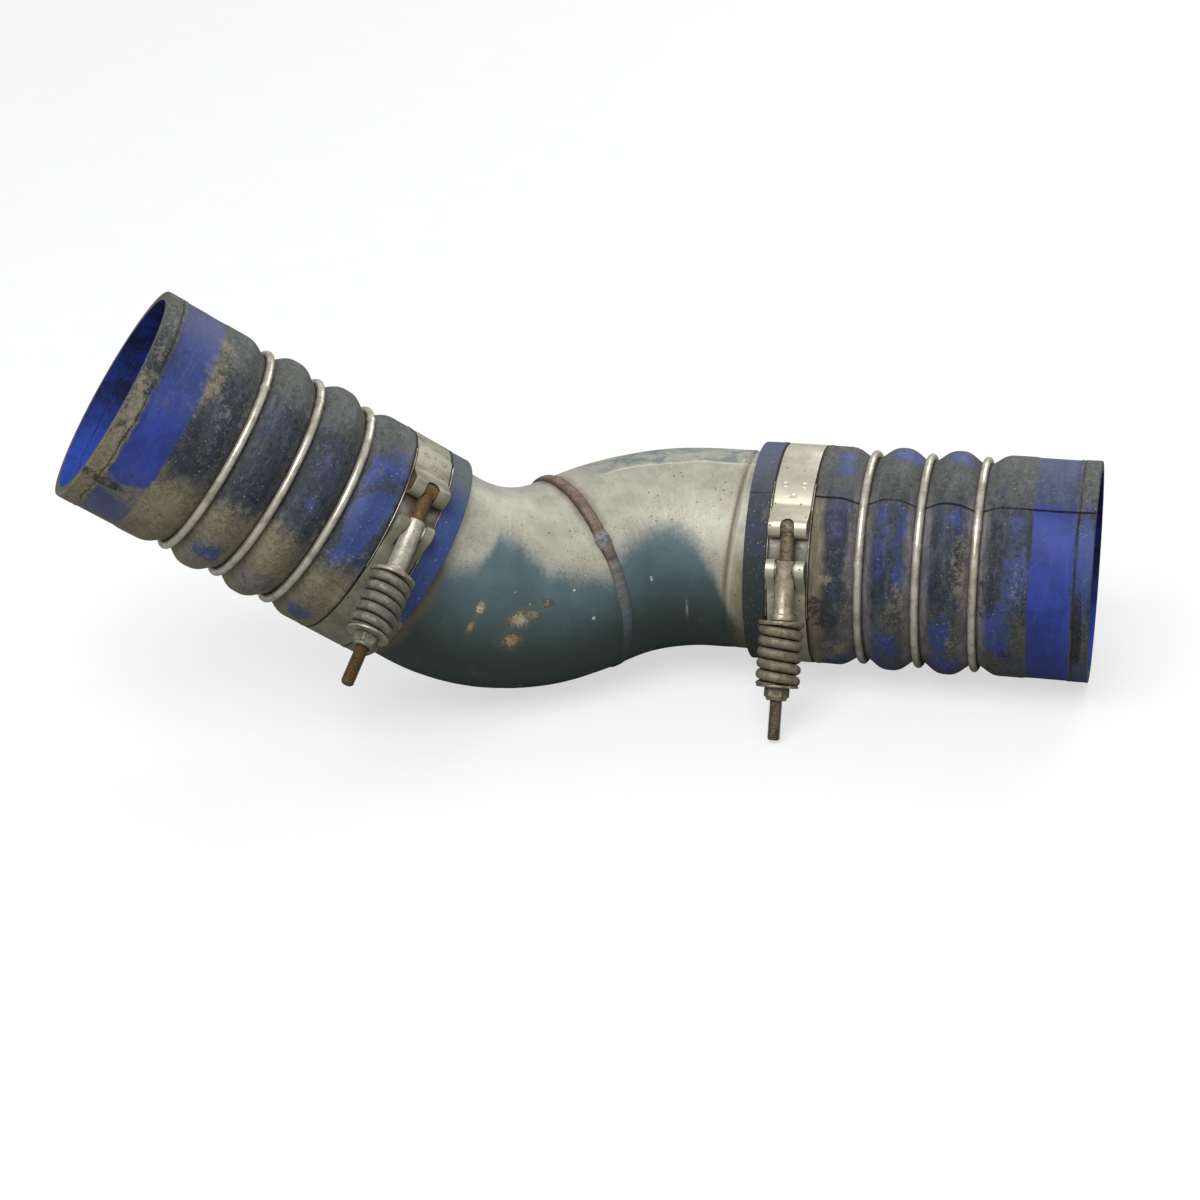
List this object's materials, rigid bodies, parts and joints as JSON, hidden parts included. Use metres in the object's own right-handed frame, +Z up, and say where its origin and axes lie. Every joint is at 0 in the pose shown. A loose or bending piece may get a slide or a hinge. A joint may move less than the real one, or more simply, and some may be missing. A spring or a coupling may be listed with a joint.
{
  "type": "intercooler pipe",
  "caption": "Welded two-bend charge-air pipe with a humped silicone hose spring-clamped to each end, bent out of plane.",
  "frame": {"origin": "middle of the part's footprint, on the floor it lies on", "axes": "+Z up, +X along the part from its raised left hose to its right hose, -Y towards the side that the clamps' bolts are on"},
  "size_m": [0.5216, 0.2003, 0.2214],
  "materials": {
    "tube_paint": "worn blue-grey paint over steel",
    "weld_rust": "rusty weld",
    "silicone": "dirty blue silicone",
    "ring_steel": "stainless wire",
    "band_steel": "stainless strip",
    "aged_steel": "dull zinc and dirt",
    "rusty_steel": "surface rust"
  },
  "bodies": {
    "root": {"left_elbow": "tube_paint", "right_elbow": "tube_paint", "weld_bead": "weld_rust", "left_hose": "silicone", "right_hose": "silicone", "left_ring_1": "ring_steel", "left_ring_2": "ring_steel", "left_ring_3": "ring_steel", "right_ring_1": "ring_steel", "right_ring_2": "ring_steel", "right_ring_3": "ring_steel", "left_band": "band_steel", "left_bridge": "band_steel", "left_t_bolt": "rusty_steel", "left_trunnion": "band_steel", "left_flange_washer": "band_steel", "left_spring": "aged_steel", "left_plain_washer": "band_steel", "left_lock_nut": "aged_steel", "right_band": "band_steel", "right_bridge": "band_steel", "right_t_bolt": "rusty_steel", "right_trunnion": "band_steel", "right_flange_washer": "band_steel", "right_spring": "aged_steel", "right_plain_washer": "band_steel", "right_lock_nut": "aged_steel"}
  },
  "joints": []
}
